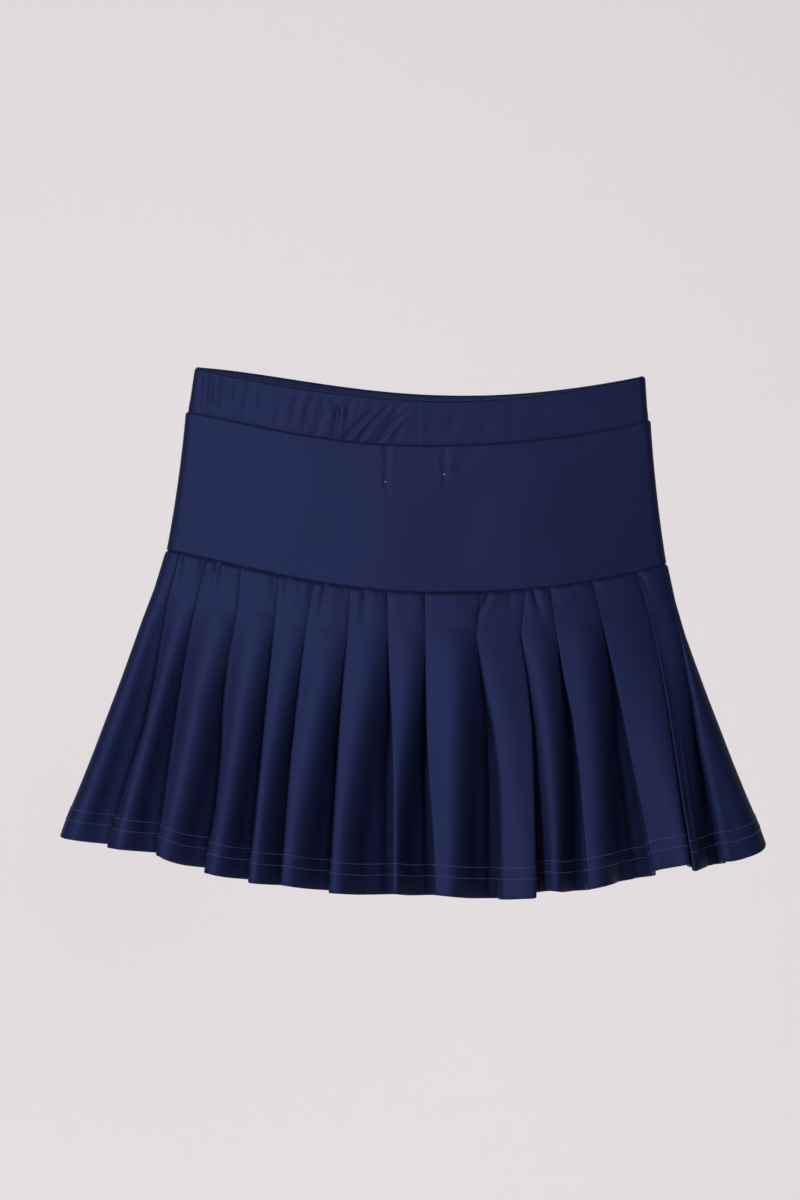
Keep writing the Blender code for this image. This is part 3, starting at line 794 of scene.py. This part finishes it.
def waistband():
    """The casing: one strip folded over the elastic, all the way round, closed at the middle of the back."""
    fold = [("o", h) for h in np.concatenate([[25.6, 25.1, 24.6, 24.0], np.linspace(23.2, 2.2, 24)])]
    fold += [("t", a) for a in np.linspace(0, 180, 11)]
    fold += [("i", h) for h in np.concatenate([np.linspace(2.4, 23.0, 12), [24.6]])]
    count = 640
    mid = 1.42
    rows = []
    for kind, value in fold:
        ring = []
        for back in (True, False):
            if kind == "t":
                under = 1.9 - 1.45 * math.sin(math.radians(value))
                out = mid * math.cos(math.radians(value))
            else:
                under = value
                out = mid if kind == "o" else -mid
            half = 120.9 + 2.6 * min(1, under / 25)
            shift = 1.6 - 1.0 * under / 25
            level = Level(half, 12.9, 3.2, shift if back else -shift)
            along = np.linspace(0, level.length, count // 2, endpoint=False)
            x, _ = level.point(along, 0.0)
            q = x if back else -x
            ends = np.clip(np.minimum(along, level.length - along) / 6, 0, 1)
            extra = np.zeros_like(q)
            if kind != "i":
                extra = band_relief(q, under, back) * (0.35 + 0.65 * ends)
                extra = extra * (math.cos(math.radians(value)) * 0.5 + 0.5 if kind == "t" else 1)
                if kind == "o":
                    extra = extra * (1 - 0.75 * ramp(under, 22.5, 25.5)) - 1.05 * ramp(under, 24.3, 25.6)
                    extra = extra + 0.25 * bell(under, 21.5, 2.2)
            else:
                extra = -0.15 * waves(q, 55, (9, 14)) * ends
            x, y = level.point(along, out + extra)
            top, low = top_line(q, back), waist_line(q, back)
            z = top + (low - top) * under / 25.0
            p = np.stack([x, y, z], -1)
            if not back:
                p = turned(p)
            ring.append(p)
        rows.append(np.concatenate(ring))
    grid = np.array(rows)
    # normals of the closed strip, turned to face outward
    n = normals_of(grid, closed=True)
    mid_row = n[10]
    if (mid_row[:, :2] * grid[10][:, :2]).sum() < 0:
        n = -n
    uv = cloth_uv(grid)
    obj = cloth_mesh("waistband", grid, n, 0.8, uv, closed=True, round_last=True, round_first=False)
    return dress(obj, KNIT)


def loop_band(name, out, top, bottom, thick, rows, material, wave=0.0):
    """A flat band inside the casing."""
    count = 360
    made = []
    for under in np.linspace(top, bottom, rows):
        ring = []
        for back in (True, False):
            half = 120.9 + 2.6 * min(1, under / 25)
            shift = 1.6 - 1.0 * under / 25
            level = Level(half, 12.9, 3.2, shift if back else -shift)
            along = np.linspace(0, level.length, count // 2, endpoint=False)
            x, y = level.point(along, out + wave * waves(along, 61, (5, 7)))
            q = x if back else -x
            z = top_line(q, back) + (waist_line(q, back) - top_line(q, back)) * under / 25.0
            p = np.stack([x, y, z], -1)
            ring.append(p if back else turned(p))
        made.append(np.concatenate(ring))
    grid = np.array(made)
    n = normals_of(grid, closed=True)
    if (n[rows // 2][:, :2] * grid[rows // 2][:, :2]).sum() < 0:
        n = -n
    obj = cloth_mesh(name, grid, n, thick, cloth_uv(grid), closed=True, round_last=True, round_first=True)
    return dress(obj, material)


# --------------------------------------------------------------------------------------------
# Build it
# --------------------------------------------------------------------------------------------

ROOT = "skirt_top"

band = waistband()
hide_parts("waistband_casing", "waistband_join_seam")
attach(band, ROOT)

elastic = loop_band("elastic_band", 0.0, 3.0, 22.5, 0.9, 14, ELASTIC)
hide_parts("waist_elastic")
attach(elastic, ROOT)

yokes = {}
for back in (True, False):
    grid, n, obj = yoke(back)
    side = "back" if back else "front"
    yokes[side] = (grid, n, obj)
    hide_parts(f"yoke_{side}")
    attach(obj, ROOT)

# Two stitch lines that hold the label, each with a bar tack at its lower end.
grid, n, _ = yokes["back"]
for side, x, low, tack in (("left", -16.9, -45.3, (-1.1, 1.1)), ("right", 14.6, -41.3, (-0.7, 1.5))):
    column = int(np.argmin(np.abs(grid[20, :, 0] - x)))
    z = np.arange(-26.6, low, -0.4)
    line = np.stack([np.interp(-z, -grid[:, column, 2], grid[:, column, q]) for q in range(3)], -1)
    face = np.stack([np.interp(-z, -grid[:, column, 2], n[:, column, q]) for q in range(3)], -1)
    line = line + face * (YOKE_THICK / 2 - 0.02)
    ties = []
    for drop in (0.15, 0.55):
        across = np.linspace(tack[0], tack[1], 7)
        bar = line[-1] + np.stack([across, across * 0, across * 0 - drop], -1) + face[-1] * 0.05
        ties.append((bar, np.repeat(face[-1:], 7, 0)))
    lineup = stitch_rows(f"label_stitches_{side}", [(line, face)], 0.19, 1.7, 0.7, LABEL_THREAD)
    knot = stitch_rows(f"label_bar_tack_{side}", ties, 0.24, 1.6, 0.5, TACK)
    for obj in (lineup, knot):
        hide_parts(f"label_stitch_{side}")
        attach(obj, ROOT)

panels = {}
for back in (True, False):
    side = "back" if back else "front"
    grid, n, made, thick = flounce(back)
    panels[side] = grid
    # a straight line fitted to the split column, with its ends at the top row and at the hem
    line = grid[:, SPLIT]
    straight = np.polyfit(line[:, 2], line[:, 0], 1)
    s0, s1 = (np.array([np.polyval(straight, p[2]), p[1], p[2]]) for p in (line[0], line[-1]))
    for obj, part in zip(made, ("a", "b")):
        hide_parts(f"flounce_{side}")
    lines = {}
    for row, over in (("upper", 16.0), ("lower", 10.0)):
        p, m = row_at(grid, n, thick, over, 0.02)
        for part, a, b in (("a", 0, SPLIT + 1), ("b", SPLIT, len(p))):
            lines[row, part] = (p[a:b], m[a:b])
    pieces = {"a": [made[0]], "b": [made[1]]}
    for part in ("a", "b"):
        obj = stitch_rows(f"hem_stitches_{side}_{part}", [lines["upper", part], lines["lower", part]], 0.21, 0.92, 0.78, HEM_THREAD_PAINTED_GLINT)
        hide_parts(f"hem_stitch_upper_{side}", f"hem_stitch_lower_{side}")
        pieces[part].append(obj)
    # the directions along and across the split, worked out here but not used; each piece's transform is then baked into
    # its mesh
    flat_ = np.array([1.0, 0, 1.0])
    along_split = (s1 - s0) * flat_
    along_split /= np.linalg.norm(along_split)
    across = np.cross(along_split, [0, 1.0, 0])
    for part in ("a", "b"):
        for obj in pieces[part]:
            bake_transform(obj)

# Inside: overlocked seam allowances at the two horizontal seams and down both sides, and the blank label.


def allowance(name, edge, inward, normal, width, closed, nodes):
    """A doubled edge of cloth, with overlock thread looped over it. edge is the seam line, inward the unit direction
    the allowance takes, normal the side that shows."""
    steps = np.linspace(0, 1, 6)
    grid = np.stack([edge + inward * width * t + normal * (0.35 * math.sin(math.pi * t)) for t in steps])
    n = np.repeat(normal[None], len(steps), 0)
    obj = dress(cloth_mesh(f"{name}_edge", grid, n, 1.1, cloth_uv(grid), closed=closed), KNIT)
    length = np.concatenate([[0], np.cumsum(np.linalg.norm(np.diff(edge, axis=0), axis=1))])
    count = int(length[-1] / 1.6)
    spots = np.linspace(0, length[-1], 2 * count + 1)
    at = lambda q, v: np.array([np.interp(q, length, v[:, k]) for k in range(3)])
    lines = []
    for i in range(2 * count):
        a, b = spots[i], spots[i + 1]
        fa, fb = (0.35, 1.02) if i % 2 == 0 else (1.02, 0.35)
        pa = at(a, edge) + at(a, inward) * width * fa + at(a, normal) * 0.62
        pb = at(b, edge) + at(b, inward) * width * fb + at(b, normal) * 0.62
        lines.append((np.stack([pa, (pa + pb) / 2, pb]), np.stack([at(a, normal)] * 3)))
    needle = edge + inward * width * 0.35 + normal * 0.78
    thread = stitch_rows(f"{name}_overlock_thread", lines, 0.15, 0.6 * width, 0.02, THREAD)
    straight = stitch_rows(f"{name}_needle_row", [(needle, normal)], 0.17, 2.0, 0.5, THREAD)
    for piece in (obj, thread, straight):
        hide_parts(*nodes)
        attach(piece, ROOT)
    return obj


def ring(seam, half, depth, end, shift, out, drop):
    """Points of a line all the way round, inside the cloth."""
    made, faces = [], []
    for back in (True, False):
        level = Level(half, depth, end, shift if back else -shift)
        along = np.linspace(0, level.length, 150, endpoint=False)
        x, y = level.point(along, out)
        nx, ny = level.point(along, out - 1.0)
        p = np.stack([x, y, seam(x if back else -x, back) + drop], -1)
        m = np.stack([nx - x, ny - y, x * 0], -1)
        made.append(p if back else turned(p))
        faces.append(m if back else turned(m))
    return np.concatenate(made), np.concatenate(faces)


down_ = np.array([0, 0, -1.0])
edge, face = ring(waist_line, 125.6, 13.9, 4.4, 0.6, -0.75, -0.4)
allowance("waist_seam", edge, np.repeat(down_[None], len(edge), 0), face, 6.0, True, ["waist_seam_overlock"])
edge, face = ring(yoke_line, 135.7, 21.5, 5.8, -0.3, -1.7, 0.4)
allowance("yoke_seam", edge, np.repeat(-down_[None], len(edge), 0), face, 6.0, True, ["yoke_seam_overlock"])
for side, sign in (("left", -1.0), ("right", 1.0)):
    for part, grid in (("yoke", yokes["back"][0]), ("flounce", panels["back"])):
        line = grid[:, 0] if sign < 0 else grid[:, -1]
        low, high = line[-1, 2] + (8.0 if part == "yoke" else 1.0), line[0, 2] - (8.0 if part == "yoke" else 2.0)
        z = np.linspace(high, low, 40)
        p = np.stack([np.interp(-z, -line[:, 2], line[:, 0]) - sign * 0.6, z * 0, z], -1)
        inward = np.repeat(np.array([[-sign, 0, 0.0]]), len(z), 0)
        face = np.repeat(np.array([[0, -1.0, 0.0]]), len(z), 0)
        allowance(f"{part}_side_seam_{side}", p, inward, face, 4.0 if part == "yoke" else 6.0, False, [f"{part}_side_seam_{side}"])

# The label: a folded satin tab sewn to the inside of the back, blank.
across = np.linspace(-16.6, 14.3, 24)
drops = np.linspace(0, 1, 14)
level = Level(126.6, 14.6, 4.6, 0.6)
x, y = level.point(level.at_x(across), -2.6)
label = np.stack([np.stack([x, y + 0.5 * math.sin(3 * t) + 0.25 * np.sin(across / 7.0) * t, -27.5 - 20.0 * t + 0 * x], -1) for t in drops])
tab = cloth_mesh("blank_label", label, normals_of(label), 0.32, cloth_uv(label))
dress(tab, SATIN)
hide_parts("size_label")
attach(tab, ROOT)

# Stage, light and camera
floor = bpy.data.meshes.new("studio_sweep")
profile = [(-4.0, -1.35)] + [(1.90 + 0.30 * math.sin(math.radians(a)), -1.35 + 0.30 * (1 - math.cos(math.radians(a)))) for a in range(0, 91, 6)] + [(2.20, 3.0)]
verts = [(x, y, z) for x in (-4.5, 4.5) for y, z in profile]
k = len(profile)
floor.from_pydata(verts, [], [(i, i + 1, k + i + 1, k + i) for i in range(k - 1)])
floor.shade_smooth()
sweep = bpy.data.objects.new("studio_sweep", floor)
bpy.context.scene.collection.objects.link(sweep)
paper, _, _ = new_material("studio_paper", (0.80, 0.765, 0.78), 0.9, Emission_Color=(1.0, 0.955, 0.97, 1), Emission_Strength=0.28)
floor.materials.append(paper)


def area_light(name, place, target, size, power, colour=(1, 1, 1)):
    light = bpy.data.lights.new(name, "AREA")
    light.shape = "DISK"
    light.size = size
    light.energy = power
    light.color = colour
    obj = bpy.data.objects.new(name, light)
    obj.location = place
    obj.rotation_euler = (Vector(target) - Vector(place)).to_track_quat("-Z", "Y").to_euler()
    bpy.context.scene.collection.objects.link(obj)
    return obj


area_light("key", (-1.15, -2.15, 0.80), (0, 0, -0.12), 0.65, 64)
area_light("fill", (0.45, -2.4, 0.25), (0, 0, -0.12), 0.7, 12)
world = bpy.data.worlds.new("studio")
world.use_nodes = True
sky = world.node_tree
sky.nodes["Background"].inputs["Color"].default_value = (0.95, 0.96, 1.0, 1)
sky.nodes["Background"].inputs["Strength"].default_value = 0.05
around = sky.nodes.new("ShaderNodeBackground")
around.inputs["Color"].default_value = (0.80, 0.755, 0.775, 1)
rays = sky.nodes.new("ShaderNodeLightPath")
choose = sky.nodes.new("ShaderNodeMixShader")
sky.links.new(rays.outputs["Is Camera Ray"], choose.inputs["Fac"])
sky.links.new(sky.nodes["Background"].outputs["Background"], choose.inputs[1])
sky.links.new(around.outputs["Background"], choose.inputs[2])
sky.links.new(choose.outputs["Shader"], sky.nodes["World Output"].inputs["Surface"])
bpy.context.scene.world = world
bpy.context.scene.view_settings.view_transform = "Standard"

DISTANCE = 1.4
camera = bpy.data.cameras.new("camera")
camera.sensor_fit = "AUTO"
camera.sensor_width = 36
camera.lens = 36 * DISTANCE / 0.654
camera.clip_start = 0.01
eye = bpy.data.objects.new("camera", camera)
eye.location = (-0.0093, -DISTANCE, -0.109)
eye.rotation_euler = (math.radians(90), 0, 0)
bpy.context.scene.collection.objects.link(eye)
bpy.context.scene.camera = eye
